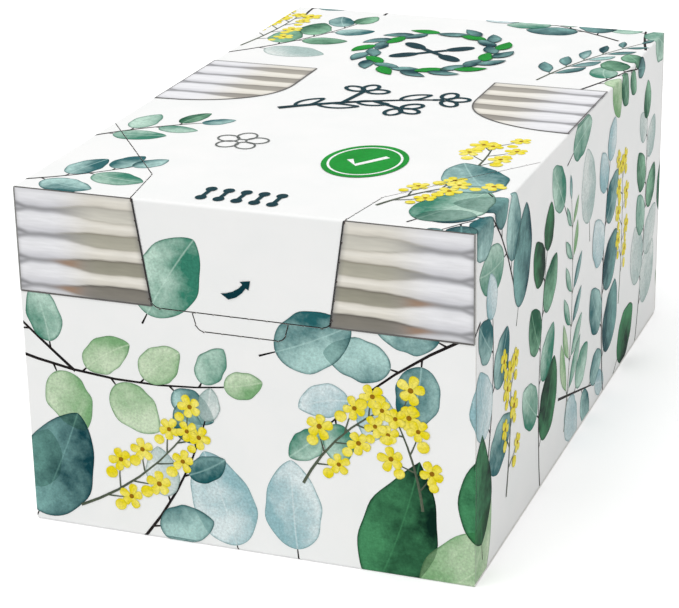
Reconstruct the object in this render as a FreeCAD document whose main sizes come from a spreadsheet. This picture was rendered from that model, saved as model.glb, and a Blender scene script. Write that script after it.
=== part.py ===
"""Sealed folding carton of cotton swabs, with a tear-open lid that is still unbroken.

The carton is one blank of printed board, folded and glued shut, so it is one solid. A sleeve of
four panels wraps round from front to top, back and base. Each end is closed by a glued flap that
hangs from the top panel and lies between the cut edges of the other three, with a fine gap round
it. The lid is outlined by a zipper tear line of short cuts, over the front and the top, with a
thumb tab below it.

X runs along the front, Y from front to back and Z up. The origin is the middle of the base.
"""
import FreeCAD, Part
import math
import os
import Sketcher

# Driving dimensions: name, value in millimetres or degrees, what it sets
SIZES = (
    ("box_width", 77.0, "outside width across the front, over both end flaps"),
    ("box_depth", 125.0, "outside depth from the front panel to the back panel"),
    ("box_height", 59.0, "outside height from the base panel to the top panel"),
    ("board", 0.4, "thickness of the carton board"),
    ("fold_radius", 0.5, "outside radius of the sleeve's folds"),
    ("end_fold_radius", 0.35, "outside radius of the folds between the top and the end flaps"),
    ("flap_gap", 0.15, "gap between an end flap and the panels' cut edges round it"),
    ("seam_setback", 1.0, "base panel's glued cut edge, in from the back"),
    ("lid_drop", 18.0, "lid's lower edge on the front, down from the top"),
    ("lid_half_width", 15.2, "lid's lower corners, out from the middle"),
    ("lid_flare", 8.5, "lean of the lid's sides from straight, in degrees"),
    ("lid_knee", 12.0, "bend in the tear line on the top, back from the front"),
    ("lid_reach", 37.0, "where the tear line meets the end folds, back from the front"),
    ("lid_corner", 1.8, "radius of the tear line's corners"),
    ("cut_length", 2.6, "rough length of one cut of the tear line"),
    ("cut_nick", 0.3, "uncut board between two cuts"),
    ("cut_width", 0.2, "width of a cut"),
    ("tab_half_width", 8.2, "thumb tab's upper corners, out from the middle"),
    ("tab_taper", 0.9, "how much nearer the middle the tab's lower corners are"),
    ("tab_drop", 3.1, "thumb tab's lower edge, down from the lid's lower edge"),
    ("tab_corner", 1.4, "radius of the thumb tab's lower corners"),
)
SHEET = "Sizes"
TOLERANCE = 1e-6


def size(name):
    """Expression that reads one cell of the sheet."""
    return f"{SHEET}.{name}"


def number(owner, expression):
    """Present value of an expression, in millimetres or degrees."""
    value = owner.evalExpression(expression)
    return float(getattr(value, "Value", value))


def add_sheet(document):
    """Spreadsheet that holds the driving dimensions."""
    sheet = document.addObject("Spreadsheet::Sheet", SHEET)
    for row, (name, value, meaning) in enumerate(SIZES, start=1):
        sheet.set(f"A{row}", meaning)
        sheet.set(f"B{row}", str(value))
        sheet.setAlias(f"B{row}", name)
    document.recompute()
    return sheet


def origin_feature(body, role):
    """One of the body's own origin planes or axes."""
    return next(item for item in body.Origin.OriginFeatures if item.Role == role)


def add_sketch(body, name, role, place, angle=None):
    """Sketch on an origin plane, moved by the three expressions in place and turned by angle."""
    sketch = body.newObject("Sketcher::SketchObject", name)
    sketch.AttachmentSupport = [(origin_feature(body, role), "")]
    sketch.MapMode = "FlatFace"
    for axis, expression in zip("xyz", place):
        sketch.setExpression(f"AttachmentOffset.Base.{axis}", expression)
    if angle:
        sketch.setExpression("AttachmentOffset.Rotation.Angle", angle)
    return sketch


def dimension(sketch, kind, where, expression):
    """Add a dimension that follows an expression."""
    value = number(sketch, expression)
    if kind == "Angle":
        value = math.radians(value)
    index = sketch.addConstraint(Sketcher.Constraint(kind, *where, value))
    label = f"d{index}"
    sketch.renameConstraint(index, label)
    sketch.setExpression(f"Constraints.{label}", expression)


def add_outline(sketch, points):
    """Closed outline of straight lines through points, each a pair of expressions."""
    corners = [FreeCAD.Vector(number(sketch, x), number(sketch, y), 0) for x, y in points]
    for index, corner in enumerate(corners):
        following = corners[(index + 1) % len(corners)]
        sketch.addGeometry(Part.LineSegment(corner, following), False)
    for index, (x, y) in enumerate(points):
        before = (index - 1) % len(points)
        sketch.addConstraint(Sketcher.Constraint("Coincident", before, 2, index, 1))
        dimension(sketch, "DistanceX", (-1, 1, index, 1), x)
        dimension(sketch, "DistanceY", (-1, 1, index, 1), y)


def add_pad(body, name, sketch, length):
    """Pad that runs equally to both sides of its sketch."""
    pad = body.newObject("PartDesign::Pad", name)
    pad.Profile = sketch
    pad.SideType = "Symmetric"
    pad.setExpression("Length", length)
    return pad


def add_pocket(body, name, sketch, depth):
    """Pocket that goes down from its sketch by depth."""
    pocket = body.newObject("PartDesign::Pocket", name)
    pocket.Profile = sketch
    pocket.setExpression("Length", depth)
    return pocket


def add_mirror(body, name, feature, role):
    """The same feature on the other side of an origin plane."""
    mirror = body.newObject("PartDesign::Mirrored", name)
    mirror.Originals = [feature]
    mirror.MirrorPlane = (origin_feature(body, role), [""])
    body.Tip = mirror
    return mirror


def add_fillet(body, name, chosen, radius):
    """Round the edges of the body's present solid that chosen says yes to."""
    body.Document.recompute()
    base = body.Tip
    names = [f"Edge{n}" for n, edge in enumerate(base.Shape.Edges, start=1) if chosen(edge)]
    fillet = body.newObject("PartDesign::Fillet", name)
    fillet.Base = (base, names)
    fillet.setExpression("Radius", radius)
    body.Tip = fillet
    return fillet


def lies_at(edge, **planes):
    """Whether every end of the edge lies on the given planes, such as y=10."""
    return all(
        abs(getattr(vertex.Point, axis) - value) < TOLERANCE
        for vertex in edge.Vertexes
        for axis, value in planes.items()
    )


def add_sleeve(body):
    """Solid inside the sleeve's panels, with its folds and the glued seam at the back of the base."""
    half_depth = f"{size('box_depth')} / 2"
    height = size("box_height")
    section = add_sketch(body, "SleeveSection", "YZ_Plane", ("0", "0", "0"))
    add_outline(section, (
        (f"-{half_depth}", "0"),
        (f"{half_depth} - {size('seam_setback')}", "0"),
        (f"{half_depth} - {size('seam_setback')}", size("board")),
        (half_depth, size("board")),
        (half_depth, height),
        (f"-{half_depth}", height),
    ))
    add_pad(body, "Sleeve", section, size("box_width"))
    y = number(body, half_depth)
    top = number(body, height)
    seam = number(body, size("board"))
    folds = ({"y": -y, "z": 0}, {"y": -y, "z": top}, {"y": y, "z": top}, {"y": y, "z": seam})
    add_fillet(
        body,
        "SleeveFolds",
        lambda edge: any(lies_at(edge, **fold) for fold in folds),
        size("fold_radius"),
    )


def add_end_flaps(body):
    """Gaps round the two end flaps, and the folds that the flaps hang from."""
    half_width = f"{size('box_width')} / 2"
    spare = size("fold_radius")
    outer = f"({size('box_depth')} / 2 - {size('board')})"
    inner = f"({outer} - {size('flap_gap')})"
    low = size("board")
    above = f"{size('box_height')} + {spare}"
    border = add_sketch(body, "FlapBorder", "YZ_Plane", ("0", "0", half_width))
    add_outline(border, (
        (f"-{outer}", low),
        (outer, low),
        (outer, above),
        (inner, above),
        (inner, f"{low} + {size('flap_gap')}"),
        (f"-{inner}", f"{low} + {size('flap_gap')}"),
        (f"-{inner}", above),
        (f"-{outer}", above),
    ))
    gap = add_pocket(body, "FlapGap", border, size("board"))
    add_mirror(body, "FlapGapLeft", gap, "YZ_Plane")
    x = number(body, half_width)
    top = number(body, size("box_height"))
    add_fillet(
        body,
        "EndFolds",
        lambda edge: any(lies_at(edge, x=side * x, z=top) for side in (-1, 1)),
        size("end_fold_radius"),
    )


def add_straight_cuts(body, name, face, start, end, trims):
    """Even row of cuts from start to end, between two trims that stay uncut."""
    nick = size("cut_nick")
    run_x = f"({end[0]} - {start[0]})"
    run_y = f"({end[1]} - {start[1]})"
    free = f"(hypot({run_x}; {run_y}) - {trims[0]} - {trims[1]})"
    count = f"max(1; floor({free} / ({size('cut_length')} + {nick}) + 0.5))"
    pitch = f"(({free} + {nick}) / {count})"
    stop = f"({trims[0]} + {pitch} - {nick})"
    half = f"{size('cut_width')} / 2"
    role, offset = face
    row = add_sketch(body, f"{name}Sketch", role, (start[0], start[1], offset),
                     f"atan2({run_y}; {run_x})")
    add_outline(row, (
        (trims[0], f"-{half}"),
        (stop, f"-{half}"),
        (stop, half),
        (trims[0], half),
    ))
    cut = add_pocket(body, f"{name}Cut", row, size("board"))
    pattern = body.newObject("PartDesign::LinearPattern", f"{name}Row")
    pattern.Originals = [cut]
    pattern.Direction = (row, ["H_Axis"])
    pattern.Mode = "Spacing"
    pattern.setExpression("Offset", pitch)
    pattern.setExpression("Occurrences", count)
    body.Tip = pattern


def add_corner_cut(body, name, face, corner, before, after, radius):
    """Curved cut that rounds a corner of the tear line, between directions before and after."""
    turn = number(body, f"{after} - {before}")
    side = "1" if turn > 0 else "-1"
    half_turn = f"(abs({after} - {before}) / 2)"
    reach = f"({radius} * tan({half_turn}))"
    centre = (
        f"{corner[0]} - {reach} * cos({before}) - {side} * {radius} * sin({before})",
        f"{corner[1]} - {reach} * sin({before}) + {side} * {radius} * cos({before})",
    )
    role, offset = face
    bend = add_sketch(body, f"{name}Sketch", role, (*centre, offset),
                      f"({before} + {after}) / 2 - {side} * 90 deg")
    spread = f"{half_turn} - {size('cut_nick')} / {radius} / 2 * 1 rad"
    outer = f"{radius} + {size('cut_width')} / 2"
    inner = f"{radius} - {size('cut_width')} / 2"
    angle = math.radians(number(bend, spread))
    up = FreeCAD.Vector(0, 0, 1)
    middle = FreeCAD.Vector(0, 0, 0)
    for ring in (outer, inner):
        circle = Part.Circle(middle, up, number(bend, ring))
        bend.addGeometry(Part.ArcOfCircle(circle, -angle, angle), False)
    for lean in (angle, -angle):
        ends = [
            FreeCAD.Vector(math.cos(lean), math.sin(lean), 0) * number(bend, ring)
            for ring in (inner, outer)
        ]
        bend.addGeometry(Part.LineSegment(*ends), False)
    for arc in (0, 1):
        bend.addConstraint(Sketcher.Constraint("Coincident", arc, 3, -1, 1))
    for line, arc_end in ((2, 2), (3, 1)):
        bend.addConstraint(Sketcher.Constraint("Coincident", line, 2, 0, arc_end))
        bend.addConstraint(Sketcher.Constraint("Coincident", line, 1, 1, arc_end))
    for line, lean in ((2, spread), (3, f"-({spread})")):
        bend.addConstraint(Sketcher.Constraint("PointOnObject", -1, 1, line))
        dimension(bend, "Angle", (line,), lean)
    dimension(bend, "Radius", (0,), outer)
    dimension(bend, "Radius", (1,), inner)
    add_pocket(body, f"{name}Cut", bend, size("board"))


def add_tear_line(body, name, face, points, radius, margin):
    """Tear line through points, with rounded corners and a margin of uncut board at both ends."""
    spans = list(zip(points[:-1], points[1:]))
    headings = [f"atan2({b[1]} - {a[1]}; {b[0]} - {a[0]})" for a, b in spans]
    nick = f"{size('cut_nick')} / 2"
    reaches = [
        f"({radius} * tan(abs({after} - {before}) / 2) + {nick})"
        for before, after in zip(headings[:-1], headings[1:])
    ]
    trims = [margin, *reaches, margin]
    for index, (start, end) in enumerate(spans):
        add_straight_cuts(body, f"{name}{index}", face, start, end, trims[index:index + 2])
    for index, corner in enumerate(points[1:-1]):
        before, after = headings[index:index + 2]
        add_corner_cut(body, f"{name}Corner{index}", face, corner, before, after, radius)


def add_lid_outline(body):
    """Tear line round the lid, over the front and the top, and the thumb tab below it."""
    front = ("XZ_Plane", f"{size('box_depth')} / 2")
    top = ("XY_Plane", size("box_height"))
    flare = f"tan({size('lid_flare')} * 1 deg)"
    low = f"({size('box_height')} - {size('lid_drop')})"
    low_x = size("lid_half_width")
    fold_x = f"({low_x} + {size('lid_drop')} * {flare})"
    knee_x = f"({low_x} + ({size('lid_drop')} + {size('lid_knee')}) * {flare})"
    end_x = f"({size('box_width')} / 2)"
    front_y = f"(-{size('box_depth')} / 2)"
    margin = f"(1.2 * {size('fold_radius')})"
    corner = size("lid_corner")

    add_tear_line(body, "LidFront", front, (
        (f"(-{fold_x})", size("box_height")),
        (f"(-{low_x})", low),
        (low_x, low),
        (fold_x, size("box_height")),
    ), corner, margin)
    for label, side in (("Left", "-1"), ("Right", "1")):
        add_tear_line(body, f"LidTop{label}", top, (
            (f"({side} * {fold_x})", front_y),
            (f"({side} * {knee_x})", f"({front_y} + {size('lid_knee')})"),
            (f"({side} * {end_x})", f"({front_y} + {size('lid_reach')})"),
        ), corner, margin)

    tab_x = size("tab_half_width")
    tab_low_x = f"({tab_x} - {size('tab_taper')})"
    tab_low = f"({low} - {size('tab_drop')})"
    add_tear_line(body, "Tab", front, (
        (f"(-{tab_x})", low),
        (f"(-{tab_low_x})", tab_low),
        (tab_low_x, tab_low),
        (tab_x, low),
    ), size("tab_corner"), size("cut_width"))


def build():
    """Make the document and return the carton's body."""
    document = FreeCAD.newDocument("SwabCarton")
    add_sheet(document)
    body = document.addObject("PartDesign::Body", "Carton")
    body.Label = "carton"
    add_sleeve(body)
    add_end_flaps(body)
    add_lid_outline(body)
    document.recompute()
    return body


def check(body):
    """Stop if any object failed or the solid isn't one valid closed solid."""
    for item in body.Document.Objects:
        if "Invalid" in item.State or "Error" in item.State:
            raise RuntimeError(f"{item.Name} failed: {item.State}")
        if item.TypeId == "Sketcher::SketchObject" and not item.FullyConstrained:
            raise RuntimeError(f"{item.Name} isn't fully constrained")
    shape = body.Shape
    if shape.isNull() or not shape.isValid() or len(shape.Solids) != 1:
        raise RuntimeError("the carton isn't one valid solid")


def main():
    body = build()
    check(body)
    os.makedirs("parts", exist_ok=True)
    body.Shape.exportStep(f"parts/{body.Label}.step")
    box = body.Shape.BoundBox
    print(f"carton {box.XLength:.2f} x {box.YLength:.2f} x {box.ZLength:.2f} mm")
    print(f"faces {len(body.Shape.Faces)}, volume {body.Shape.Volume / 1000:.2f} cm3")


main()
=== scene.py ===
"""Looks of a sealed cotton swab carton: coated board, a watercolour leaf print that wraps round the
folds, four printed pictures of swabs, a plain arrow and pictograms, and the lid's tear line.

The print is laid out on the carton's net, in millimetres: x across the carton from its middle, and
run up the front panel, back over the top and down the back panel. Beyond the top panel's sides the
net goes on down the two ends. Every printed shape is a thin mesh that is cut at the folds and laid
on the board.
"""

import math
import random

import bpy
import numpy as np
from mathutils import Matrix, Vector
from mathutils.geometry import delaunay_2d_cdt


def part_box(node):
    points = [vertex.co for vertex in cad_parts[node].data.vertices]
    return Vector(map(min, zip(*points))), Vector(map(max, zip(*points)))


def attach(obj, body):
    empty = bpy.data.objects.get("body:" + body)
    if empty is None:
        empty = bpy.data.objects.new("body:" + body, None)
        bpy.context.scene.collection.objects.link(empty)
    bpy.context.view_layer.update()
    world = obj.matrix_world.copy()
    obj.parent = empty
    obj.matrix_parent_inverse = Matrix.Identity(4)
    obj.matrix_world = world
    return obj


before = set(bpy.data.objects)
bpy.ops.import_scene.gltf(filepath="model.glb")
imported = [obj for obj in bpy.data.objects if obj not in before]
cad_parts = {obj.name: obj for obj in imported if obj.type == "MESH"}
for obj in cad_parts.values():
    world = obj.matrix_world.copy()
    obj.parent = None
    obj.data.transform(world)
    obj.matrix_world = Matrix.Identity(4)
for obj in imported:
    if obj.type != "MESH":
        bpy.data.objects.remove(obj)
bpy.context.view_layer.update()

# The carton, in millimetres, as the frame gives it
MM = 0.001
LOW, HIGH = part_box("carton")
WIDTH, DEPTH, HEIGHT = [(high - low) / MM for low, high in zip(LOW, HIGH)]
BOARD = 0.4
FOLD_RADIUS = 0.5
END_RADIUS = 0.35
FLAP_GAP = 0.15

# The net's run at each fold, and half of the width
TOP_START = HEIGHT
TOP_END = HEIGHT + DEPTH
NET_END = 2 * HEIGHT + DEPTH
HALF = WIDTH / 2
FLAP_EDGE = BOARD + FLAP_GAP

# Print layers: height of the lowest above the board, and of each next one
INK_LIFT = 0.010
LAYER_STEP = 0.005

QUARTER = math.pi / 2
SLACK = 1e-4
PANELS = ("front", "top", "back", "left", "right")


def linear(red, green, blue):
    """Colour that Blender uses, from the 0 to 255 values it shows as."""
    parts = [part / 255 for part in (red, green, blue)]
    return np.array([p / 12.92 if p <= 0.04045 else ((p + 0.055) / 1.055) ** 2.4 for p in parts])


# Washes: each is a light tint and a dark one. Leaf washes let the washes below show through.
LEAF_WASHES = {
    "teal": ((178, 213, 208), (38, 98, 102)),
    "deep": ((128, 174, 170), (14, 64, 72)),
    "mint": ((192, 221, 206), (56, 128, 106)),
    "leaf": ((146, 195, 164), (24, 88, 62)),
    "forest": ((72, 140, 96), (5, 38, 28)),
    "sage": ((206, 224, 194), (126, 172, 122)),
    "sky": ((222, 234, 235), (150, 188, 194)),
    "mist": ((226, 232, 229), (172, 194, 190)),
}
PLAIN_WASHES = {
    "twig": ((78, 66, 62), (28, 26, 28)),
    "stalk": ((150, 156, 132), (92, 100, 84)),
    "petal": ((250, 238, 124), (234, 216, 28)),
    "heart": ((214, 160, 40), (178, 120, 24)),
    "ink": ((8, 58, 66), (5, 48, 58)),
    "line": ((120, 124, 122), (92, 96, 94)),
    "outline": ((70, 69, 70), (54, 53, 54)),
    "frame": ((112, 110, 108), (92, 90, 88)),
    "edge": ((150, 150, 148), (130, 130, 128)),
    "score": ((100, 92, 88), (84, 76, 72)),
    "seal": ((26, 154, 56), (14, 134, 42)),
    "white": ((250, 250, 250), (244, 246, 246)),
}
WASHES = {name: [linear(*tint) for tint in tints]
          for name, tints in (LEAF_WASHES | PLAIN_WASHES).items()}
FLOWER_WASHES = ("petal", "heart")

# Outlines of blades: how fast the width grows from the base and shrinks to the tip
LANCE = (0.95, 0.95)
OVATE = (0.54, 0.72)
LAUREL = (0.72, 1.00)
PETAL = (0.90, 0.42)
PETAL_RIM = 0.13
DISC = (0.50, 0.50)


# Net to carton


def on_carton(x, run, lift):
    """Points on the board, in metres, for net places x and run, lifted off along the surface."""
    tilt = -QUARTER
    for fold in (0, TOP_START, TOP_END):
        tilt = tilt + QUARTER * np.clip((run - fold) / (2 * FOLD_RADIUS) + 0.5, 0, 1)
    facing = np.stack([-np.cos(tilt), np.sin(tilt)])
    inner_y = np.clip(run - TOP_START, FOLD_RADIUS, DEPTH - FOLD_RADIUS) - DEPTH / 2
    climbed = np.where(run < TOP_START + DEPTH / 2, run, NET_END - run)
    inner_z = np.clip(climbed, FOLD_RADIUS, HEIGHT - FOLD_RADIUS)
    centre = np.stack([inner_y, inner_z])

    out = np.abs(x)
    folded = (run > TOP_START + FLAP_EDGE - SLACK) & (run < TOP_END - FLAP_EDGE + SLACK)
    radius = np.where(folded, END_RADIUS, 0.0)
    bent = np.clip((out - HALF) / (2 * END_RADIUS) + 0.5, 0, 1)
    turn = QUARTER * np.where(folded, bent, out > HALF + SLACK)
    along = np.minimum(out, HALF - radius) + radius * np.sin(turn)
    drop = radius * (1 - np.cos(turn)) + np.maximum(out - HALF - radius, 0)
    side = np.where(x < 0, -1.0, 1.0)
    place = centre + facing * (FOLD_RADIUS - drop + lift * np.cos(turn))
    across = side * (along + lift * np.sin(turn))
    return np.stack([across, *place], axis=1) * MM


def rectangle(left, right, start, end):
    return [(left, start), (right, start), (right, end), (left, end)]


def printed_areas():
    """Parts of the net that take print: the sleeve, the top with both ends, and then the ends again
    as print from the front and the back reaches them."""
    lowest = HALF + HEIGHT - FLAP_EDGE
    near, far = HALF + FLAP_EDGE, HALF + DEPTH - FLAP_EDGE
    areas = [
        rectangle(-HALF, HALF, 0, NET_END),
        rectangle(-lowest, lowest, TOP_START + FLAP_EDGE, TOP_END - FLAP_EDGE),
    ]
    for start, end in ((FLAP_EDGE, TOP_START - END_RADIUS),
                       (TOP_END + END_RADIUS, NET_END - FLAP_EDGE)):
        for inner, outer in ((HALF, HALF + BOARD), (near, far)):
            areas.append(rectangle(inner, outer, start, end))
            areas.append(rectangle(-outer, -inner, start, end))
    return areas


AREAS = printed_areas()
NET_AREAS = 2
ROUND_UPRIGHTS = ("front", "back")
FOLD_STEPS = (-1, -0.5, 0, 0.5, 1)
RUN_CUTS = [fold + FOLD_RADIUS * step for fold in (0, TOP_START, TOP_END) for step in FOLD_STEPS]
SIDE_CUTS = [side * (HALF + END_RADIUS * step) for side in (-1, 1) for step in FOLD_STEPS]


# Printed shapes

# Least curve, waves round a rim, taper of a stem, inner lines of points by their share of the half
# width, change of tone across and along, and a distance that shows no rim or rib
STRAIGHT = 1e-5
RIM_WAVES = (1.1, 1.9, 3.1)
STEM_TAPER = 0.55
INNER_LINES = (-0.86, -0.45, 0.45, 0.86)
TONE_ACROSS = 0.34
TONE_ALONG = 0.62
FAR_OFF = 9.0


def direction(turn):
    """Step of length 1 that heads turn degrees round from x."""
    return np.array([math.cos(math.radians(turn)), math.sin(math.radians(turn))])


def shares_of(rows):
    """Shares of a length, closer together towards both ends."""
    return 0.5 - 0.5 * np.cos(math.pi * np.linspace(0, 1, rows))


class Patch:
    """Plain printed shape with its own outline, for pictograms and lines."""

    layer = 0
    home = None

    def __init__(self, outline, wash):
        self.outline = np.array(outline, float)
        self.wash = wash

    def inside(self):
        """Points within the outline, and edges between them."""
        return np.empty((0, 2)), []

    def values(self, points):
        """Tone, and distances to the rim and to the rib in mm."""
        far = np.full(len(points), FAR_OFF)
        return np.full(len(points), 0.5), far, far


class Blade(Patch):
    """Leaf, petal, bud or stem: a shape round an arc, with a width that follows its profile."""

    def __init__(self, base, heading, length, width, bend, profile, wash, chance,
                 rough=0.03, shade=0.0, veins=False, rows=27, fill=True):
        self.base = np.array(base, float)
        self.way = direction(heading)
        self.length = length
        self.half_width = width / 2
        self.curve = math.radians(bend) / length
        if abs(self.curve) < STRAIGHT:
            self.curve = STRAIGHT
        self.profile = profile
        self.waves = [(rough * chance.uniform(0.5, 1), count, chance.random()) for count in RIM_WAVES]
        self.shade = shade
        self.shade_side = chance.choice((-1, 1))
        self.shade_way = chance.uniform(-1, 1)
        self.veins = veins
        self.rows = rows
        self.fill = fill and profile != "stem"
        shares = shares_of(rows)
        right = self.place(shares * length, -self.half_width_at(shares, -1))
        left = self.place(shares * length, self.half_width_at(shares, 1))
        left = left[::-1] if profile == "stem" else left[-2:0:-1]
        super().__init__(np.concatenate([right, left]), wash)

    def half_width_at(self, share, side):
        """Half of the width at a share of the length, on one side."""
        if self.profile == "stem":
            return self.half_width * (1 - STEM_TAPER * share)
        grow, shrink = self.profile
        peak = (grow / (grow + shrink)) ** grow * (shrink / (grow + shrink)) ** shrink
        width = share ** grow * (1 - share) ** shrink / peak
        wobble = sum(size * np.sin(2 * math.pi * (count * share + phase + 0.25 * side))
                     for size, count, phase in self.waves)
        return self.half_width * width * (1 + wobble)

    def place(self, along, across):
        """Net places of points by their distance along and across the middle line."""
        radius = 1 / self.curve
        turn = along * self.curve
        x = (radius - across) * np.sin(turn)
        y = radius - (radius - across) * np.cos(turn)
        cos, sin = self.way
        return np.stack([x * cos - y * sin, x * sin + y * cos], axis=-1) + self.base

    def spot(self, along, across=0.0):
        """Net place of one point."""
        return self.place(np.array([along]), np.array([across]))[0]

    def inside(self):
        if not self.fill:
            return super().inside()
        shares = shares_of(self.rows // 2 + 2)[1:-1]
        points = [self.place(shares * self.length, 0 * shares)]
        for part in INNER_LINES:
            width = self.half_width_at(shares, 1 if part > 0 else -1)
            points.append(self.place(shares * self.length, part * width))
        edges = [(index, index + 1) for index in range(len(shares) - 1)]
        return np.concatenate(points), edges

    def values(self, points):
        cos, sin = self.way
        x, y = (points - self.base).T
        x, y = x * cos + y * sin, y * cos - x * sin
        radius = 1 / self.curve
        sign = 1 if radius > 0 else -1
        turn = np.arctan2(sign * x, sign * (radius - y))
        across = radius - sign * np.hypot(x, radius - y)
        share = np.clip(turn / self.curve / self.length, 0, 1)
        tone = (0.5 + self.shade + TONE_ACROSS * self.shade_side * across / self.half_width
                + TONE_ALONG * self.shade_way * (share - 0.5))
        rim = distance_to_outline(points, self.outline) + (PETAL_RIM if self.wash == "petal" else 0)
        rib = np.abs(across) if self.veins else np.full(len(points), FAR_OFF)
        return tone, rim, rib


def distance_to_outline(points, outline):
    """Distance of each point to the nearest edge of the outline."""
    step = np.roll(outline, -1, axis=0) - outline
    length = np.maximum((step ** 2).sum(1), 1e-12)
    gap = points[:, None] - outline
    share = np.clip((gap * step).sum(2) / length, 0, 1)
    away = gap - share[..., None] * step
    return np.sqrt((away ** 2).sum(2)).min(1)


def anticlockwise(outline):
    outline = np.array(outline, float)
    x, y = outline.T
    area = (x * np.roll(y, -1) - np.roll(x, -1) * y).sum()
    return outline if area > 0 else outline[::-1]


def box_of(outline):
    """Lowest and highest x and run of an outline, as one row."""
    return np.concatenate([np.min(outline, 0), np.max(outline, 0)])


def that_meet(box, items, boxes):
    """The items whose boxes meet the box."""
    boxes = np.reshape(boxes, (-1, 4))
    meet = (boxes[:, :2] < box[2:]).all(1) & (box[:2] < boxes[:, 2:]).all(1)
    return [items[index] for index in np.flatnonzero(meet)]


def fold_lines(box):
    """Lines at the folds that cross a box, as pairs of net places."""
    left, start, right, end = box
    lines = [((left - 1, cut), (right + 1, cut)) for cut in RUN_CUTS if start < cut < end]
    cuts = SIDE_CUTS if end > TOP_START and start < TOP_END else []
    lines += [((cut, start - 1), (cut, end + 1)) for cut in cuts if left < cut < right]
    return lines


def cut_shape(shape, below):
    """Triangles of a shape, cut at the folds and at the outlines of the shapes below it."""
    points = []

    def add_points(new):
        first = len(points)
        points.extend(Vector(p) for p in new)
        return range(first, len(points))

    box = box_of(shape.outline)
    reach = len(AREAS) if shape.home in ROUND_UPRIGHTS else NET_AREAS
    areas = that_meet(box, AREAS[:reach], AREA_BOXES[:reach])
    cuts = that_meet(box, CUTS, CUT_BOXES)
    outlines = [shape.outline, *areas, *cuts, *[other.outline for other in below]]
    faces = [list(add_points(anticlockwise(outline))) for outline in outlines]
    inner, inner_edges = shape.inside()
    places = add_points(inner)
    edges = [(places[a], places[b]) for a, b in inner_edges]
    edges += [tuple(add_points(line)) for line in fold_lines(box)]
    corners, _, found, _, _, origins = delaunay_2d_cdt(points, edges, faces, 0, 1e-5, True)
    first_cut = 1 + len(areas)
    first_below = first_cut + len(cuts)
    triangles, under = [], []
    for face, sources in zip(found, origins):
        in_area = any(1 <= source < first_cut for source in sources)
        in_cut = any(first_cut <= source < first_below for source in sources)
        if 0 in sources and in_area and not in_cut:
            triangles.append(face)
            under.append([below[source - first_below] for source in sources if source >= first_below])
    return np.array([list(corner) for corner in corners]), triangles, under


def panel_of(x, run):
    """Panel that a net place is on."""
    if abs(x) > HALF:
        return "right" if x > 0 else "left"
    if run < TOP_START:
        return "front"
    return "top" if run < TOP_END else "back"


FACING = 0.9
AT_FLOOR = 0.02


def tear_cuts():
    """Net outlines of the tear line's cuts, from the floors of the slots in the carton."""
    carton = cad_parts["carton"]
    place = carton.matrix_world
    outlines = []
    for face in carton.data.polygons:
        middle = place @ face.center / MM
        on_front = face.normal.y < -FACING and abs(middle.y + DEPTH / 2 - BOARD) < AT_FLOOR
        on_top = face.normal.z > FACING and abs(middle.z - HEIGHT + BOARD) < AT_FLOOR
        if on_front or on_top:
            corners = [place @ carton.data.vertices[index].co / MM for index in face.vertices]
            outlines.append(np.array([
                (corner.x, corner.z if on_front else TOP_START + (corner.y + DEPTH / 2))
                for corner in corners]))
    return outlines


SCORE_REACH = 1.8
SCORE_WIDTH = 0.16
CUTS = tear_cuts()
CUT_BOXES = [box_of(cut) for cut in CUTS]
AREA_BOXES = [box_of(area) for area in AREAS]


def slot_ends():
    """Both ends of each cut of the tear line, one after the other."""
    slots = []
    for cut in CUTS:
        corners = {tuple(corner) for corner in cut.round(3)}
        meeting = [slot for slot in slots if slot & corners]
        slots = [slot for slot in slots if not slot & corners] + [corners.union(*meeting)]
    ends = []
    for slot in slots:
        corners = np.array(sorted(slot))
        middle = corners.mean(0)
        way = np.linalg.svd(corners - middle)[2][0]
        along = (corners - middle) @ way
        ends += [middle + way * along.min(), middle + way * along.max()]
    return np.array(ends)


def score_lines():
    """Thin lines over the nicks, from each end of a cut to the nearest end of another."""
    ends = slot_ends()
    gaps = np.linalg.norm(ends[:, None] - ends[None], axis=2)
    index = np.arange(len(ends))
    gaps[index, index] = np.inf
    gaps[index, index ^ 1] = np.inf
    nearest = gaps.argmin(1)
    pairs = {tuple(sorted((first, second))) for first, second in enumerate(nearest.tolist())
             if gaps[first, second] < SCORE_REACH}
    return [Patch(ribbon(ends[list(pair)], SCORE_WIDTH), "score") for pair in sorted(pairs)]


def store_colours(mesh, label, colours, domain):
    """Keep a colour for each point or each corner of a mesh."""
    full = np.ones((len(colours), 4), np.float32)
    full[:, :3] = colours
    mesh.color_attributes.new(label, "FLOAT_COLOR", domain).data.foreach_set("color", full.ravel())


class Sheet:
    """All triangles that are printed on one panel, with what their material reads."""

    def __init__(self):
        self.points, self.faces = [], []
        self.values = {"tone": [], "rim": [], "rib": []}
        self.colours = {"light": [], "dark": [], "glaze": []}

    def add(self, points, values, faces, wash):
        """Add faces of a shape, each with its glaze, by the shape's points and their values."""
        used = sorted({index for face, _ in faces for index in face})
        place = {index: len(self.points) + order for order, index in enumerate(used)}
        self.points.extend(points[used])
        for store, value in zip(self.values.values(), values):
            store.extend(value[used])
        for face, glaze in faces:
            self.faces.append([place[index] for index in face])
            for store, colour in zip(self.colours.values(), (*WASHES[wash], glaze)):
                store.extend([colour] * 3)

    def make(self, name, look):
        mesh = bpy.data.meshes.new(name)
        mesh.from_pydata([tuple(p) for p in self.points], [], self.faces)
        for label, values in self.values.items():
            mesh.attributes.new(label, "FLOAT", "POINT").data.foreach_set(
                "value", np.array(values, np.float32))
        for label, colours in self.colours.items():
            store_colours(mesh, label, colours, "CORNER")
        add_piece(name, mesh, look)


GLAZE_STRENGTH = 0.55
GLAZE_LEAST = 0.4


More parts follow.
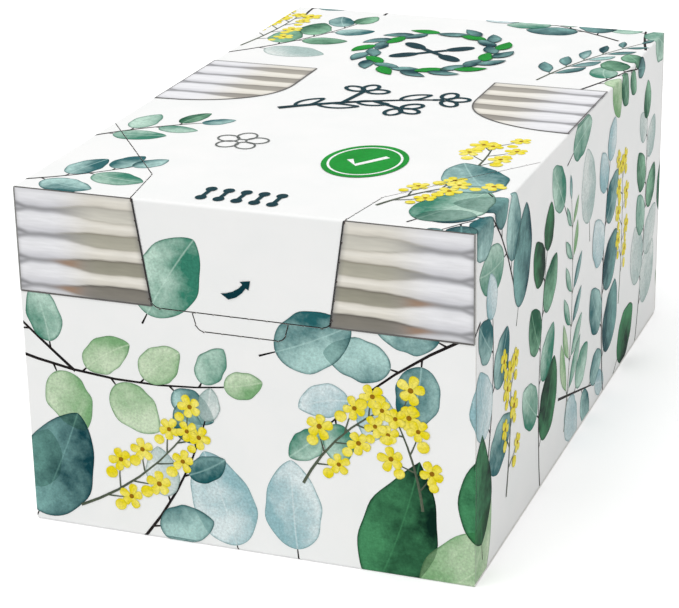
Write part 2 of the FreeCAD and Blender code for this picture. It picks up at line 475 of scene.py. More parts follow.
def glaze_of(below):
    """Tint that shows through from the shapes below, as one wash over another."""
    tint = np.ones(3)
    for other in below:
        tint *= 1 - GLAZE_STRENGTH * (1 - np.mean(WASHES[other.wash], axis=0))
    return tuple(np.maximum(tint, GLAZE_LEAST))


def print_shapes(kind, shapes, base_lift, look):
    """Lay shapes on the carton, each over those before it, as one piece a panel."""
    sheets = {panel: Sheet() for panel in PANELS}
    done, boxes = [], []
    for shape in shapes:
        box = box_of(shape.outline)
        below = that_meet(box, done, boxes)
        shape.layer = max([other.layer + 1 for other in below], default=0)
        done.append(shape)
        boxes.append(box)
        glazing = []
        if shape.wash in LEAF_WASHES:
            glazing = [other for other in below if isinstance(other, Blade) and other.profile != "stem"]
        points, triangles, under = cut_shape(shape, glazing)
        if not triangles:
            continue
        between = 0.5 if shape.home in ROUND_UPRIGHTS else 0
        lift = base_lift + LAYER_STEP * (shape.layer + between)
        placed = on_carton(points[:, 0], points[:, 1], lift)
        groups = {}
        for face, others in zip(triangles, under):
            panel = panel_of(*points[face].mean(0))
            groups.setdefault(panel, []).append((face, glaze_of(others)))
        values = shape.values(points)
        for panel, faces in groups.items():
            sheets[panel].add(placed, values, faces, shape.wash)
    for panel, sheet in sheets.items():
        if sheet.faces:
            sheet.make(f"{kind}_{panel}", look)


# Motifs


def branch(place, heading, length, bend, leaf, leaf_width, washes, seed, pairs=4, profile=OVATE,
           spread=52, taper=0.55, twig="twig", thick=0.55, start=0.22, both=False):
    """Bent twig with leaves on alternate sides, or on both, and one at its tip."""
    chance = random.Random(seed)
    stem = Blade(place, heading, length, thick, bend, "stem", twig, chance, rows=9)
    shapes = [stem]
    count = pairs * 2
    for index in range(count):
        share = start + (1 - start) * (index // 2 * 2 if both else index) / count
        point = stem.spot(share * length)
        side = 1 if index % 2 else -1
        size = leaf * (1 - (1 - taper) * share) * chance.uniform(0.88, 1.1)
        turn = heading + bend * share + side * (spread + chance.uniform(-9, 9))
        stalk = 0.12 * size
        shapes.append(Blade(point, turn, stalk * 1.6, thick * 0.7, 0, "stem", twig, chance, rows=4))
        shapes.append(Blade(
            point + stalk * direction(turn), turn, size, size * leaf_width * chance.uniform(0.9, 1.08),
            -side * chance.uniform(6, 34), profile, chance.choice(washes), chance,
            shade=chance.uniform(-0.2, 0.2), veins=chance.random() < 0.6))
    shapes.append(Blade(
        stem.spot(length * 0.98), heading + bend, leaf * taper, leaf * taper * leaf_width,
        chance.uniform(-15, 15), profile, chance.choice(washes), chance, veins=True))
    return shapes


def single_leaf(place, heading, length, width, bend, wash, seed, profile=OVATE, stalk=4.0):
    """One large leaf on its stalk, which starts at place."""
    chance = random.Random(seed)
    foot = np.array(place) + stalk * direction(heading)
    return [
        Blade(place, heading, stalk * 1.3, 0.36, 0, "stem", "twig", chance, rows=4),
        Blade(foot, heading, length, width, bend, profile, wash, chance, veins=True, rows=31),
    ]


def flower(place, size, turn, chance):
    """Small flower of five petals round a darker heart."""
    petals = [
        Blade(place, turn + 72 * index + chance.uniform(-6, 6), size / 2 * chance.uniform(0.9, 1.1),
              size * 0.36, 0, PETAL, "petal", chance, rows=8, shade=chance.uniform(-0.15, 0.15))
        for index in range(5)
    ]
    radius = size * 0.10
    heart = Blade((place[0] - radius, place[1]), 0, 2 * radius, 2 * radius, 0, DISC, "heart", chance,
                  rows=6, fill=False)
    return [*petals, heart]


def bud(place, size, chance):
    half = size / 2
    return [Blade((place[0] - half, place[1]), 0, size, size * chance.uniform(0.85, 1.0), 0, DISC,
                  "petal", chance, rows=8, shade=chance.uniform(-0.2, 0.25))]


FLOWER_STALK = 5.0


def blossoms(place, heading, length, bend, seed, stalks=7, size=4.2):
    """Spray of small yellow flowers and buds on thin side stalks."""
    chance = random.Random(seed)
    stem = Blade(place, heading, length, 0.5, bend, "stem", "stalk", chance, rows=9)
    shapes, heads = [stem], []
    for index in range(stalks):
        share = 0.22 + 0.78 * index / (stalks - 1)
        point = stem.spot(share * length)
        side = 1 if index % 2 else -1
        turn = heading + bend * share + side * chance.uniform(35, 65)
        far = FLOWER_STALK * chance.uniform(0.7, 1.15)
        twig = Blade(point, turn, far, 0.3, side * -20, "stem", "stalk", chance, rows=5)
        shapes.append(twig)
        heads += flower(twig.spot(far), size * chance.uniform(0.85, 1.15), chance.uniform(0, 72), chance)
        heads += bud(twig.spot(far * 0.5, side * 1.4), size * chance.uniform(0.38, 0.55), chance)
    heads += flower(stem.spot(length), size * 0.9, chance.uniform(0, 72), chance)
    return shapes + heads


def fern(place, heading, length, bend, leaf, washes, seed, pairs=6):
    """Sprig of narrow leaves in close pairs."""
    return branch(place, heading, length, bend, leaf, 0.34, washes, seed, pairs=pairs, profile=LANCE,
                  spread=44, taper=0.45, twig="stalk", thick=0.38, start=0.15, both=True)


# Where the print goes


def to_net(panel, across, up, heading):
    """Net place and heading on a panel: across from the middle, or back from the front on an end, and
    up from the base, or back from the front on the top."""
    return {
        "front": ((across, up), heading),
        "top": ((across, TOP_START + up), heading),
        "back": ((across, NET_END - up), -heading),
        "right": ((HALF + HEIGHT - up, TOP_START + across), 90 + heading),
        "left": ((-HALF - HEIGHT + up, TOP_START + across), 90 - heading),
    }[panel]


def from_net(x, run):
    """Panel of a net place, and the place on it."""
    out = abs(x) - HALF
    up = min(run, NET_END - run)
    if out <= 0:
        place = (x, run - TOP_START if TOP_START <= run < TOP_END else up)
    elif TOP_START <= run <= TOP_END:
        place = (run - TOP_START, HEIGHT - out)
    else:
        place = (out if run < TOP_START else DEPTH - out, up)
    return panel_of(x, run), *place


CELL = 1.5
KEPT_CLEAR = (
    ("front", -39, 39, 42, 60),
    ("top", -39, -15, 50, 82),
    ("top", 15, 39, 50, 82),
    ("top", -17, 17, -1, 118),
)


def cell(value):
    return math.floor(value / CELL)


def cells_kept_clear():
    """Cells of the carton that random sprigs stay off."""
    return {
        (panel, u, v) for panel, left, right, low, high in KEPT_CLEAR
        for u in range(cell(left), cell(right) + 1) for v in range(cell(low), cell(high) + 1)
    }


def cells_of(shapes):
    """Cells of the carton that shapes cover."""
    found = set()
    for shape in shapes:
        if shape.profile == "stem":
            places = shape.place(np.linspace(0, shape.length, 8), np.zeros(8))
        else:
            grid = np.meshgrid(np.linspace(0.06, 0.94, 8), (-0.75, 0, 0.75))
            along, across = (part.ravel() for part in grid)
            width = shape.half_width_at(along, 1)
            places = shape.place(along * shape.length, across * width)
        for x, run in places:
            panel, u, v = from_net(x, run)
            found.add((panel, cell(u), cell(v)))
    return found


COOL = ("teal", "mint", "sky", "deep")
FRESH = ("leaf", "mint", "sage", "mist")
MIXED = ("teal", "mint", "leaf", "sage", "sky", "deep")


def random_sprig(panel, across, up, heading, chance):
    """Some sprig, leaf or spray of flowers at a place of a panel."""
    place, turn = to_net(panel, across, up, heading)
    seed = chance.randrange(10000)
    kind = chance.random()
    bend = chance.uniform(-36, 36)
    washes = chance.choice((COOL, FRESH, MIXED))
    if kind < 0.42:
        return branch(place, turn, chance.uniform(24, 38), bend, chance.uniform(10, 13.5),
                      chance.uniform(0.60, 0.76), washes, seed, pairs=chance.choice((2, 3)))
    if kind < 0.60:
        return fern(place, turn, chance.uniform(20, 30), bend, chance.uniform(6, 9), washes, seed)
    if kind < 0.82:
        length = chance.uniform(11, 18)
        return single_leaf(place, turn, length, length * chance.uniform(0.55, 0.75), bend / 3,
                           chance.choice((*washes, "forest")), seed)
    return blossoms(place, turn, chance.uniform(13, 20), bend, seed, stalks=chance.choice((4, 5, 6)))


MOST_OVERLAP = 0.06


def fill_panel(panel, area, tries, seed, covered):
    """Add random sprigs where they overlap little of the print so far."""
    chance = random.Random(seed)
    left, right, low, high = area
    added = []
    for _ in range(tries):
        across, up = chance.uniform(left, right), chance.uniform(low, high)
        heading = 90 + chance.gauss(0, 38)
        sprig = at_home(random_sprig(panel, across, up, heading, chance), panel)
        cells = cells_of(sprig)
        if len(cells & covered) / len(cells) <= MOST_OVERLAP:
            covered |= cells
            added += sprig
    return added


def at_home(shapes, panel):
    """Note the panel that the shapes are laid out from."""
    for shape in shapes:
        shape.home = panel
    return shapes


# Sprigs listed one by one, mostly where the photo shows the carton: on each panel the kind of sprig, its
# place across and up, its heading and what its kind takes
MAIN_SPRIGS = (
    ("front", (
        (branch, 41, 44, 205, 36, 24, 13, 0.70, ("teal", "mint", "sky"), 11, 3),
        (branch, -42, 31, -16, 40, 26, 12.5, 0.70, ("mint", "teal", "sage"), 12, 3),
        (single_leaf, 21, -5, 66, 25, 13, 12, "forest", 13, LAUREL, 2),
        (single_leaf, 27, -6, 34, 24, 13.5, 16, "sage", 14, LAUREL, 3),
        (single_leaf, -40, -2, 62, 21, 13, 8, "deep", 15),
        (single_leaf, -1, -3, 104, 17, 11, 8, "sky", 16),
        (branch, -21, -3, 48, 30, 26, 11, 0.66, ("leaf", "teal", "mist"), 19, 2),
        (blossoms, -30, 4, 24, 26, 30, 17, 8),
        (blossoms, 10, 14, 64, 20, -34, 18),
        (blossoms, 30, 12, 96, 16, 20, 20, 5),
        (single_leaf, -17, 38, 62, 16, 11, -10, "mint", 21, OVATE, 2),
        (single_leaf, 3, 35, 20, 14, 10, 10, "teal", 22, OVATE, 3),
    )),
    ("top", (
        (branch, -40, 3, 26, 20, 22, 12, 0.62, ("mint", "teal"), 31, 2),
        (branch, -40, 27, 52, 22, -24, 11, 0.55, ("leaf", "mint", "teal"), 32, 2),
        (branch, -39, 86, 44, 34, 30, 13, 0.62, ("teal", "leaf", "mist"), 33, 3),
        (blossoms, -38, 92, 78, 26, 14, 35, 8, 4.0),
    )),
    ("right", (
        (branch, 22, 40, 112, 34, 40, 14, 0.66, ("deep", "teal", "mint"), 36, 3),
    )),
    ("top", (
        (single_leaf, 27, 2, 60, 17, 11, 14, "mint", 37, OVATE, 2),
        (single_leaf, 36, 17, 128, 16, 10.5, -14, "teal", 39, OVATE, 2),
        (fern, 24, 84, 78, 34, -20, 8.5, ("deep", "teal"), 34, 5),
        (blossoms, 20, 8, 66, 16, -24, 38, 5),
    )),
    ("front", (
        (branch, HALF + 3, 10, 62, 34, 36, 14.5, 0.72, ("mint", "teal", "sky"), 51, 2),
        (single_leaf, HALF + 4, 3, 98, 19, 11.5, -16, "forest", 58, LAUREL, 3),
        (blossoms, HALF + 17, 8, 74, 22, 22, 55, 6),
    )),
    ("right", (
        (branch, 38, -2, 102, 46, -30, 15, 0.72, ("leaf", "forest", "mint"), 52, 3),
        (single_leaf, 22, 36, 70, 17, 10, 12, "deep", 59, OVATE, 3),
        (fern, 53, 4, 72, 44, 30, 11, ("sage", "mint", "teal"), 53),
        (branch, 82, -3, 106, 50, -34, 15, 0.74, ("teal", "deep", "sky"), 54, 3),
        (blossoms, 92, 14, 80, 28, 18, 56, 8),
        (branch, 106, -3, 70, 50, 26, 14, 0.76, ("mint", "leaf", "mist"), 57),
    )),
)


def main_sprigs():
    shapes = []
    for panel, sprigs in MAIN_SPRIGS:
        for maker, across, up, heading, *rest in sprigs:
            shapes += at_home(maker(*to_net(panel, across, up, heading), *rest), panel)
    return shapes


FILLED = (
    ("front", (-40, 40, -4, 40), 260, 5),
    ("top", (-44, -18, 0, 125), 260, 6),
    ("top", (18, 44, 0, 125), 260, 7),
    ("right", (0, 125, -4, 50), 320, 8),
    ("left", (0, 125, -4, 50), 460, 9),
    ("back", (-40, 40, -4, 50), 360, 10),
)


def print_layout():
    """Every leaf and stem of the print, and then every flower."""
    shapes = main_sprigs()
    covered = cells_kept_clear() | cells_of(shapes)
    for panel, area, tries, seed in FILLED:
        shapes = fill_panel(panel, area, tries, seed, covered) + shapes
    return sorted(shapes, key=lambda shape: shape.wash in FLOWER_WASHES)


# Pictograms and lines


def ellipse(centre, across, along, turn, count):
    """Outline of an ellipse by its half widths."""
    angle = np.linspace(0, 2 * math.pi, count, endpoint=False)
    cos, sin = direction(turn)
    x, y = across * np.cos(angle), along * np.sin(angle)
    return np.stack([x * cos - y * sin, x * sin + y * cos], axis=1) + centre


def ribbon(points, width):
    """Outline of a line of some width through points."""
    points = np.array(points, float)
    way = np.gradient(points, axis=0)
    way /= np.linalg.norm(way, axis=1)[:, None]
    aside = np.stack([-way[:, 1], way[:, 0]], axis=1) * width / 2
    return np.concatenate([points - aside, (points + aside)[::-1]])


def swab_sign(centre, length, turn, thick):
    """Pictogram of one swab: a stick with a bud at each end."""
    centre = np.array(centre, float)
    way = direction(turn)
    half = length / 2
    bud_half = 0.17 * length
    stick = way * half * 0.8
    shapes = [Patch(ribbon([centre - stick, centre + stick], thick), "ink")]
    for side in (-1, 1):
        middle = centre + side * way * (half - bud_half)
        shapes.append(Patch(ellipse(middle, bud_half, thick * 1.25, turn, 24), "ink"))
    return shapes


def wreath(centre, across, along):
    """Ring of leaves round two crossed swabs."""
    chance = random.Random(3)
    angles = np.radians(np.linspace(100, 440, 80))
    ring = np.stack([across * np.cos(angles), along * np.sin(angles)], axis=1) + centre
    shapes = [Patch(ribbon(ring, 0.5), "deep")]
    for index in range(30):
        cos, sin = direction(104 + index * 332 / 29)
        place = (centre[0] + across * cos, centre[1] + along * sin)
        heading = math.degrees(math.atan2(along * cos, -across * sin))
        side = 1 if index % 2 else -1
        shapes.append(Blade(place, heading + side * 34, 6.4, 2.9, -side * 24, LAUREL,
                            "deep" if index % 3 else "seal", chance, rows=9))
    for turn in (38, 142):
        shapes += swab_sign(centre, 17.5, turn, 1.15)
    return shapes


def loop(outline, width, wash):
    """Closed thin line along an outline, in two halves."""
    half = len(outline) // 2
    halves = (outline[:half + 1], np.concatenate([outline[half:], outline[:1]]))
    return [Patch(ribbon(line, width), wash) for line in halves]


SPRIG_TURN, SPRIG_BEND = 38, -22


def cotton_sprig(centre, scale):
    """Line drawing of a sprig with three cotton bolls and outlined leaves."""
    chance = random.Random(8)
    base = np.array(centre) + np.array([-15.5, -9.0]) * scale
    stem = Blade(base, SPRIG_TURN, 33 * scale, 1.35, SPRIG_BEND, "stem", "ink", chance, rows=20)
    shapes = [stem]
    for share, side, far in ((0.42, 1, 9.5), (0.62, -1, 8.0), (1.0, 0, 2.5)):
        start = stem.spot(share * stem.length)
        turn = SPRIG_TURN + SPRIG_BEND * share + side * 52
        middle = start + direction(turn) * far * scale
        shapes.append(Patch(ribbon([start, middle], 0.95), "ink"))
        for lean in (-70, 0, 70):
            lobe = middle + 3.0 * scale * direction(turn + lean)
            shapes += loop(ellipse(lobe, 2.35 * scale, 1.6 * scale, turn + lean, 30), 0.76, "ink")
    for share, side, long in ((0.12, 1, 8.0), (0.26, -1, 9.0), (0.52, -1, 7.0), (0.80, 1, 7.5)):
        turn = SPRIG_TURN + SPRIG_BEND * share + side * 40
        leaf = Blade(stem.spot(share * stem.length), turn, long * scale, 3.2 * scale, -side * 26, LAUREL,
                     "ink", chance, rough=0)
        shapes += loop(leaf.outline, 0.68, "ink")
    return shapes


def line_flower(centre, radius):
    """Flower of five thin loops."""
    shapes = []
    for turn in range(90, 450, 72):
        middle = np.array(centre) + direction(turn) * radius * 0.6
        shapes += loop(ellipse(middle, radius * 0.42, radius * 0.36, turn, 28), 0.34, "line")
    return shapes


TICK = ((-0.38, 0.02), (-0.12, -0.28), (0.42, 0.34))


def tick_seal(centre, across, along):
    """Green disc with a white ring and a white tick."""
    return [
        Patch(ellipse(centre, across, along, 0, 60), "seal"),
        *loop(ellipse(centre, across * 0.84, along * 0.84, 0, 70), 0.4, "white"),
        Patch(ribbon(np.array(TICK) * (across, along) + centre, 1.1), "white"),
    ]


ARROW = (
    (0.0, 0.9), (1.3, 0.0), (2.6, 0.5), (3.6, 1.3), (4.3, 2.2), (4.75, 1.9), (5.1, 3.5), (3.3, 3.2),
    (3.75, 2.75), (3.0, 2.0), (2.0, 1.4), (1.0, 1.05),
)
ARROW_PLACE = (-3.1, 43.9)


def on_top(across, back):
    return across, TOP_START + back


def pictograms():
    """The arrow on the lid, and on the top a leaf ring round two crossed swabs, a cotton sprig, a
    flower, a green seal with a tick and a row of five swabs."""
    shapes = [Patch(np.add(ARROW, ARROW_PLACE), "ink")]
    shapes += wreath(on_top(-0.5, 97.5), 12.2, 14.4)
    shapes += cotton_sprig(on_top(-1.5, 61), 0.84)
    shapes += line_flower(on_top(-13, 33), 4.6)
    shapes += tick_seal(on_top(10.8, 28.5), 7.0, 8.8)
    for index in range(5):
        shapes += swab_sign(on_top(-7.4 + 3.0 * index, 5.6), 6.4, 90, 0.74)
    return shapes


# Swab pictures: how far they go down the front and over the top, and in from the side edges
FRONT_LONG = 17.7
FRONT_REACH = 20.65
FRONT_FLARE = 2.6
TOP_BACK = TOP_START + 80.0
TOP_LONG = 27.0
TOP_REACH = 21.1
TOP_STRAIGHT = 11.0
TOP_ROUNDING = 2.4
FRAME_INSET = 0.15
FOLD_LINE_INSET = 0.27
FRONT_LINES = ((0.22, "frame"), (0.34, "outline"), (0.28, "frame"), (0.26, "edge"))


def front_reach(down):
    """The front pictures widen downwards, along the lid's side."""
    return FRONT_REACH + FRONT_FLARE * down / FRONT_LONG


def top_reach(down):
    """The top pictures are straight at the back and round off towards the front corner."""
    share = np.clip((down - TOP_STRAIGHT) / (TOP_LONG - TOP_STRAIGHT), 0, 1)
    return TOP_REACH * (1 - share ** TOP_ROUNDING) ** 0.5


def picture_outlines():
    """Thin dark frames of the swab pictures, by reach from the side edge and net run."""
    top, low = TOP_START - 0.05, TOP_START - FRONT_LONG
    corners = [(FRAME_INSET, top), (FRAME_INSET + front_reach(0), top),
               (FRAME_INSET + front_reach(FRONT_LONG), low), (FRAME_INSET, low)]
    lines = [([start, end], *kind)
             for start, end, kind in zip(corners, corners[1:] + corners[:1], FRONT_LINES)]
    down = [*np.linspace(0, TOP_STRAIGHT, 6), *np.linspace(TOP_STRAIGHT + 0.3, TOP_LONG, 40)]
    lines += [
        ([(max(top_reach(value), FRAME_INSET), TOP_BACK - value) for value in down], 0.30, "frame"),
        ([(FRAME_INSET, TOP_BACK), (TOP_REACH, TOP_BACK)], 0.28, "edge"),
        ([(FOLD_LINE_INSET, TOP_BACK - TOP_LONG), (FOLD_LINE_INSET, TOP_BACK)], 0.19, "frame"),
    ]
    return [Patch(ribbon([(side * (HALF - reach), run) for reach, run in points], width), wash)
            for side in (-1, 1) for points, width, wash in lines]


# Node helpers and materials


def material(name):
    made = bpy.data.materials.new(name)
    made.use_nodes = True
    tree = made.node_tree
    return made, tree, tree.nodes["Principled BSDF"]


def fill_in(tree, made, sockets):
    """Link each named socket of a node to another node's output, or set it to a plain value."""
    for key, value in sockets.items():
        socket = made.inputs[key]
        if isinstance(value, bpy.types.NodeSocket):
            tree.links.new(value, socket)
        else:
            socket.default_value = (*value, 1) if socket.type == "RGBA" else value


def node(tree, kind, sockets=None, **settings):
    made = tree.nodes.new("ShaderNode" + kind)
    for key, value in settings.items():
        setattr(made, key, value)
    fill_in(tree, made, sockets or {})
    return made


def noise(tree, blob_mm, detail, roughness=0.5, stretch=(1, 1, 1)):
    """Noise whose blobs are about blob_mm across, fixed to the carton."""
    where = node(tree, "TexCoord").outputs["Object"]
    mapping = node(tree, "Mapping", {"Vector": where, "Scale": stretch})
    return node(tree, "TexNoise", {
        "Vector": mapping.outputs["Vector"], "Scale": 1 / (blob_mm * MM), "Detail": detail,
        "Roughness": roughness,
    }).outputs["Fac"]


def remap(tree, source, low, high, out_low=0.0, out_high=1.0):
    return node(tree, "MapRange", {
        "Value": source, "From Min": low, "From Max": high, "To Min": out_low, "To Max": out_high,
    }).outputs["Result"]


def vary(tree, source, low, high):
    """Noise, most of which lies between 0.3 and 0.7, spread over another range."""
    return remap(tree, source, 0.3, 0.7, low, high)


def maths(tree, operation, first, second=0.0):
    return node(tree, "Math", {0: first, 1: second}, operation=operation).outputs["Value"]


def mix(tree, share, first, second, blend_type="MIX"):
    """Mix of two colours, which the node takes at its inputs 6 and 7."""
    return node(tree, "Mix", {0: share, 6: first, 7: second}, data_type="RGBA",
                blend_type=blend_type).outputs[2]


def scaled(tree, colour, factor):
    return node(tree, "VectorMath", {0: colour, "Scale": factor}, operation="SCALE").outputs[0]


def attribute(tree, name, output):
    return node(tree, "Attribute", attribute_name=name).outputs[output]


# Zones of the board with a tint of their own, by distance out to the side, place back and height: the raw
# cut edges, the gap at the end flaps, a little darker as painted shade, and the floors of the tear line's
# cuts, dark for the board's grey inner layer and for painted shade. Cuts and gaps start SKIN below the
# outer face and end SPARE beyond the board.
SKIN = 0.04
SPARE = 0.05
BACK = DEPTH / 2
FOLD_CLEAR = FOLD_RADIUS + 0.02
FLAP_START = 0.3
ANYWHERE = (-DEPTH, DEPTH)
ENDS = (HALF - 0.01, WIDTH)
BETWEEN_ENDS = (-1, HALF - FOLD_RADIUS)
RAW_TINT = linear(240, 239, 235)
# Gap: a little darker than the raw edge, as painted shade in the narrow gap.
GAP_SHADE_TINT = linear(228, 226, 222)
# Cuts: the board's grey inner layer, darkened further as painted shade in the narrow cuts.
CUT_SHADE_TINT = linear(78, 71, 68)
ZONES = (
    (RAW_TINT, ENDS, (-DEPTH, BOARD - BACK), ANYWHERE),
    (RAW_TINT, ENDS, (BACK - BOARD, DEPTH), ANYWHERE),
    (RAW_TINT, ENDS, ANYWHERE, (-1, BOARD)),
    (GAP_SHADE_TINT, (HALF - BOARD - SPARE, HALF - SKIN), (FLAP_START - BACK, BACK - FLAP_START),
     (FLAP_START, HEIGHT - END_RADIUS)),
    (CUT_SHADE_TINT, BETWEEN_ENDS, (SKIN - BACK, BOARD + SPARE - BACK), (2, HEIGHT - FOLD_CLEAR)),
    (CUT_SHADE_TINT, BETWEEN_ENDS, (FOLD_CLEAR - BACK, BACK - FOLD_CLEAR),
     (HEIGHT - BOARD - SPARE, HEIGHT - SKIN)),
)


def in_zone(tree, places, bounds):
    """1 where each place, in metres, lies between its bounds in millimetres, otherwise 0."""
    share = 1
    for place, (low, high) in zip(places, bounds):
        for operation, bound in (("GREATER_THAN", low), ("LESS_THAN", high)):
            share = maths(tree, "MULTIPLY", maths(tree, operation, place, bound * MM), share)
    return share


def board_material():
    """White coated board with faint fibres and raw cut edges; the cuts of the tear line are dark with the
    board's grey inner layer and painted shade, and the gap at the end flaps a little darker with painted
    shade.
    """
    made, tree, shader = material("coated_board")
    cloud = noise(tree, 9, 2)
    fibre = noise(tree, 0.35, 4, 0.6)
    tint = mix(tree, remap(tree, cloud, 0.35, 0.65), linear(247, 247, 246), linear(244, 245, 244))
    where = node(tree, "TexCoord").outputs["Object"]
    x, *others = node(tree, "SeparateXYZ", {"Vector": where}).outputs
    places = (maths(tree, "ABSOLUTE", x), *others)
    # Raw edges take their own tint; the gap and the cuts take painted shade.
    for zone_tint, *bounds in ZONES:
        tint = mix(tree, in_zone(tree, places, bounds), tint, zone_tint)
    relief = node(tree, "Bump", {"Height": fibre, "Distance": 0.02 * MM, "Strength": 0.25})
    fill_in(tree, shader, {
        "Base Color": tint,
        "Roughness": vary(tree, fibre, 0.46, 0.56),
        "Specular IOR Level": 0.2,
        "Normal": relief.outputs["Normal"],
    })
    return made


def paint_material():
    """Watercolour: washes that pool and fade, a darker rim, grain and pale ribs."""
    made, tree, shader = material("watercolour_print")
    pool = noise(tree, 5.5, 3)
    blot = noise(tree, 1.6, 3, 0.6)
    grain = noise(tree, 0.42, 4, 0.7)
    tone, rim, rib = (attribute(tree, name, "Fac") for name in ("tone", "rim", "rib"))
    light, dark, glaze = (attribute(tree, name, "Color") for name in ("light", "dark", "glaze"))
    wet = maths(tree, "ADD", tone, vary(tree, pool, -0.28, 0.28))
    wet = maths(tree, "ADD", wet, vary(tree, blot, -0.11, 0.11))
    wash = mix(tree, remap(tree, wet, 0.1, 0.9), light, dark)
    rim = maths(tree, "ADD", rim, vary(tree, blot, -0.12, 0.12))
    wash = mix(tree, remap(tree, rim, 0.0, 0.55, 0.55, 0.0), wash, dark)
    edge = mix(tree, 1.0, dark, linear(150, 170, 165), "MULTIPLY")
    wash = mix(tree, remap(tree, rim, 0.05, 0.24, 0.5, 0.0), wash, edge)
    wash = mix(tree, remap(tree, rib, 0.05, 0.2, 0.5, 0.0), wash, light)
    wash = scaled(tree, wash, vary(tree, grain, 0.80, 1.20))
    fill_in(tree, shader, {
        "Base Color": mix(tree, 1.0, wash, glaze, "MULTIPLY"),
        "Roughness": vary(tree, grain, 0.50, 0.60),
        "Specular IOR Level": 0.04,
    })
    return made


def picture_material():
    """Printed photo of swabs: the tones in the mesh, with fine streaks of cotton along them."""
    made, tree, shader = material("swab_picture")
    streak = noise(tree, 0.5, 3, stretch=(0.12, 1, 1))
    fill_in(tree, shader, {
        "Base Color": scaled(tree, attribute(tree, "tone", "Color"), vary(tree, streak, 0.94, 1.05)),
        "Roughness": vary(tree, streak, 0.50, 0.58),
        "Specular IOR Level": 0.06,
    })
    return made


def add_object(name, data):
    made = bpy.data.objects.new(name, data)
    bpy.context.scene.collection.objects.link(made)
    return made


def add_piece(name, mesh, look):
    """Mesh object that belongs to the carton."""
    mesh.materials.append(look)
    piece = add_object(name, mesh)
    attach(piece, "root")


# Printed pictures of swabs

PICTURE_LIFT = INK_LIFT + 16 * LAYER_STEP
PICTURE_CELL = 0.2
LEAST_REACH = 0.02
NECK_START, NECK_END = 6.0, 15.0
CREAM = linear(237, 233, 223)
CREAM_SHADE = linear(216, 211, 199)
COTTON = linear(238, 238, 241)
COTTON_SHADE = linear(205, 205, 210)
HEAD_GAP = linear(154, 154, 157)
NECK_BROWN = linear(164, 128, 98)
LOWER_LINE = linear(140, 135, 122)
FRAME_GREY = linear(112, 112, 114)
FORK_OUT, FORK_LONG = 0.55, 2.6
FRONT_ROWS = {
    "first": 3.3, "pitch": 4.4, "stick": 1.15, "head": 0.34, "warm": (2, 3),
    "fill": ((206, 203, 192), (177, 174, 159), (155, 152, 137), (134, 130, 121)),
    "line": ((178, 174, 164), (146, 141, 127), (112, 107, 95), (84, 80, 74)),
}
TOP_ROWS = {
    "first": 3.5, "pitch": 6.0, "stick": 1.35, "head": 0.40, "warm": (),
    "fill": ((168, 163, 154), (160, 155, 146), (164, 159, 150), (158, 153, 145), (160, 155, 146)),
    "line": ((118, 114, 108), (104, 100, 95), (112, 108, 102), (106, 102, 97), (110, 106, 100)),
}


def smooth(value, low, high):
    """0 below low, 1 above high and a soft step between."""
    share = np.clip((value - low) / (high - low), 0, 1)
    return share * share * (3 - 2 * share)


def blend(first, second, share):
    """Colours between first and second, for an array of shares."""
    share = share[:, None]
    return first * (1 - share) + second * share


def swab_tones(across, down, rim, rows):
    """Colours of pictured swabs, by distance in from their heads, down the picture and from its rim."""
    fills, lines = (np.array([linear(*tone) for tone in rows[key]]) for key in ("fill", "line"))
    neck = smooth(across, NECK_START, NECK_END)
    row = np.clip(np.floor((down - rows["first"]) / rows["pitch"] + 0.5), 0, len(fills) - 1)
    sway = 0.09 * np.sin((across + 2.3 * row) * 0.42) + 0.03 * np.sin((across * 1.7 + 4.1 * row) * 0.9)
    gap = down - rows["first"] - row * rows["pitch"] - sway
    half_gap = rows["head"] + (rows["stick"] - rows["head"]) * neck
    soft = 0.12 + 0.26 * (1 - neck)
    fork = FORK_OUT * (1 - smooth(across, 0, FORK_LONG))
    in_gap = 1 - smooth(np.abs(np.abs(gap) - fork), half_gap - soft, half_gap + soft)

    depth = np.maximum(np.abs(gap) - half_gap, 0)
    width = np.where(gap < 0, 1.15, 0.42)
    shaded = 0.85 * np.exp(-(depth / width) ** 2)
    swab = blend(blend(COTTON, CREAM, neck), blend(COTTON_SHADE, CREAM_SHADE, neck), shaded)

    fill = blend(HEAD_GAP, fills[row.astype(int)], neck)
    fill = fill * (1 + 0.10 * np.clip(gap / half_gap, -1, 1))[:, None]
    warm = 0.7 * np.exp(-((across - 9.0) / 2.3) ** 2) * np.isin(row, rows["warm"])
    fill = blend(fill, NECK_BROWN, warm)
    tone = blend(swab, fill, in_gap)
    upper = np.exp(-((gap + half_gap) / 0.17) ** 2) * smooth(across, 5, 13)
    tone = blend(tone, lines[row.astype(int)], 0.9 * upper)
    lower = np.exp(-((gap - half_gap) / 0.13) ** 2) * neck
    tone = blend(tone, LOWER_LINE, 0.35 * lower)
    return blend(tone, FRAME_GREY, 0.55 * np.clip(1 - rim / 1.1, 0, 1) ** 2)


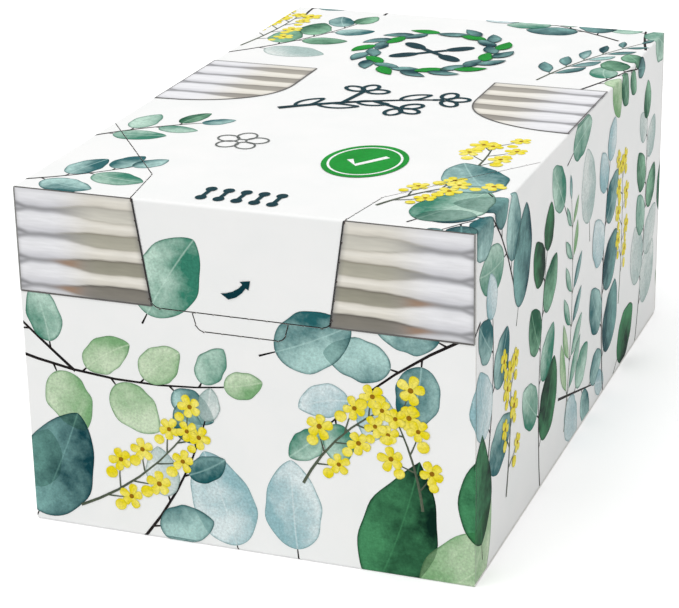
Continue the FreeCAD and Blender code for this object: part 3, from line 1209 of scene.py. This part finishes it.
def picture(name, look, side, start, long, inner_edge, swabs):
    """Picture of swabs that goes down from the net run start, and in from a side edge as far as
    inner_edge gives at a distance down."""
    rows = round(long / PICTURE_CELL) + 1
    columns = round(inner_edge(0) / PICTURE_CELL) + 1
    down, share = np.meshgrid(np.linspace(0, long, rows), np.linspace(0, 1, columns), indexing="ij")
    reach = np.maximum(inner_edge(down), LEAST_REACH)
    across = share * reach
    rim = np.minimum(np.minimum(across, reach - across), np.minimum(down, long - down))
    points = on_carton(side * (HALF - across.ravel()), start - down.ravel(), PICTURE_LIFT)
    index = np.arange(rows * columns).reshape(rows, columns)
    faces = np.stack([index[:-1, :-1], index[1:, :-1], index[1:, 1:], index[:-1, 1:]], axis=-1)
    faces = faces.reshape(-1, 4)[:, ::-side]
    mesh = bpy.data.meshes.new(name)
    mesh.from_pydata(points.tolist(), [], faces.tolist())
    store_colours(mesh, "tone", swab_tones(across.ravel(), down.ravel(), rim.ravel(), swabs), "POINT")
    add_piece(name, mesh, look)


def add_pictures():
    look = picture_material()
    for side, label in ((-1, "left"), (1, "right")):
        picture(f"swab_picture_front_{label}", look, side, TOP_START, FRONT_LONG, front_reach, FRONT_ROWS)
        picture(f"swab_picture_top_{label}", look, side, TOP_BACK, TOP_LONG, top_reach, TOP_ROWS)


# Stage, light and camera

CAMERA_PLACE = (0.13022, -0.35992, 0.16859)
CAMERA_TURN = (68.83, 1.063, 20.477)
CAMERA_LENS = 118.2
FLOOR_HALF = 3.0
FLOOR_GLOW = 0.33
SKY_LEVEL = 0.645
SUN_LEVEL = 1.39
SUN_SPREAD = 50
SUN_FROM = (-0.22, -0.34, 0.91)


def seen_directly(tree):
    """1 for rays from the camera and those that gloss or glass sends on, otherwise 0."""
    path = node(tree, "LightPath")
    seen = maths(tree, "MAXIMUM", path.outputs["Is Camera Ray"], path.outputs["Is Glossy Ray"])
    return maths(tree, "MAXIMUM", seen, path.outputs["Is Transmission Ray"])


def add_floor():
    """Large white floor, which is as bright as the world where the camera sees it unshaded."""
    mesh = bpy.data.meshes.new("floor")
    corners = rectangle(-FLOOR_HALF, FLOOR_HALF, -FLOOR_HALF, FLOOR_HALF)
    mesh.from_pydata([(x, y, 0) for x, y in corners], [], [(0, 1, 2, 3)])
    made, tree, shader = material("floor_white")
    fill_in(tree, shader, {
        "Base Color": linear(236, 236, 236),
        "Roughness": 1.0, "Specular IOR Level": 0.0, "Emission Color": (1, 1, 1),
        "Emission Strength": remap(tree, seen_directly(tree), 0, 1, 0, FLOOR_GLOW),
    })
    mesh.materials.append(made)
    add_object("floor", mesh)


def add_world():
    world = bpy.data.worlds.new("studio")
    bpy.context.scene.world = world
    world.use_nodes = True
    tree = world.node_tree
    strength = remap(tree, seen_directly(tree), 0, 1, SKY_LEVEL, 1.0)
    fill_in(tree, tree.nodes["Background"], {"Color": (1, 1, 1), "Strength": strength})


def add_sun():
    """One broad, soft light from above and a little from the front left."""
    lamp = bpy.data.lights.new("sun", "SUN")
    lamp.energy = SUN_LEVEL
    lamp.angle = math.radians(SUN_SPREAD)
    add_object("sun", lamp).rotation_euler = Vector(SUN_FROM).to_track_quat("Z", "Y").to_euler()


def add_camera():
    lens = bpy.data.cameras.new("camera")
    lens.lens = CAMERA_LENS
    lens.clip_start = 0.01
    camera = add_object("camera", lens)
    camera.location = CAMERA_PLACE
    camera.rotation_euler = [math.radians(turn) for turn in CAMERA_TURN]
    bpy.context.scene.camera = camera


def dress_carton():
    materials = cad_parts["carton"].data.materials
    materials.clear()
    materials.append(board_material())


def add_print():
    look = paint_material()
    print_shapes("print", print_layout(), INK_LIFT, look)
    lines = [*pictograms(), *picture_outlines(), *score_lines()]
    print_shapes("signs", lines, PICTURE_LIFT + LAYER_STEP, look)


def main():
    bpy.context.scene.view_settings.view_transform = "Standard"
    add_camera()
    add_floor()
    add_world()
    add_sun()
    dress_carton()
    add_print()
    add_pictures()


main()
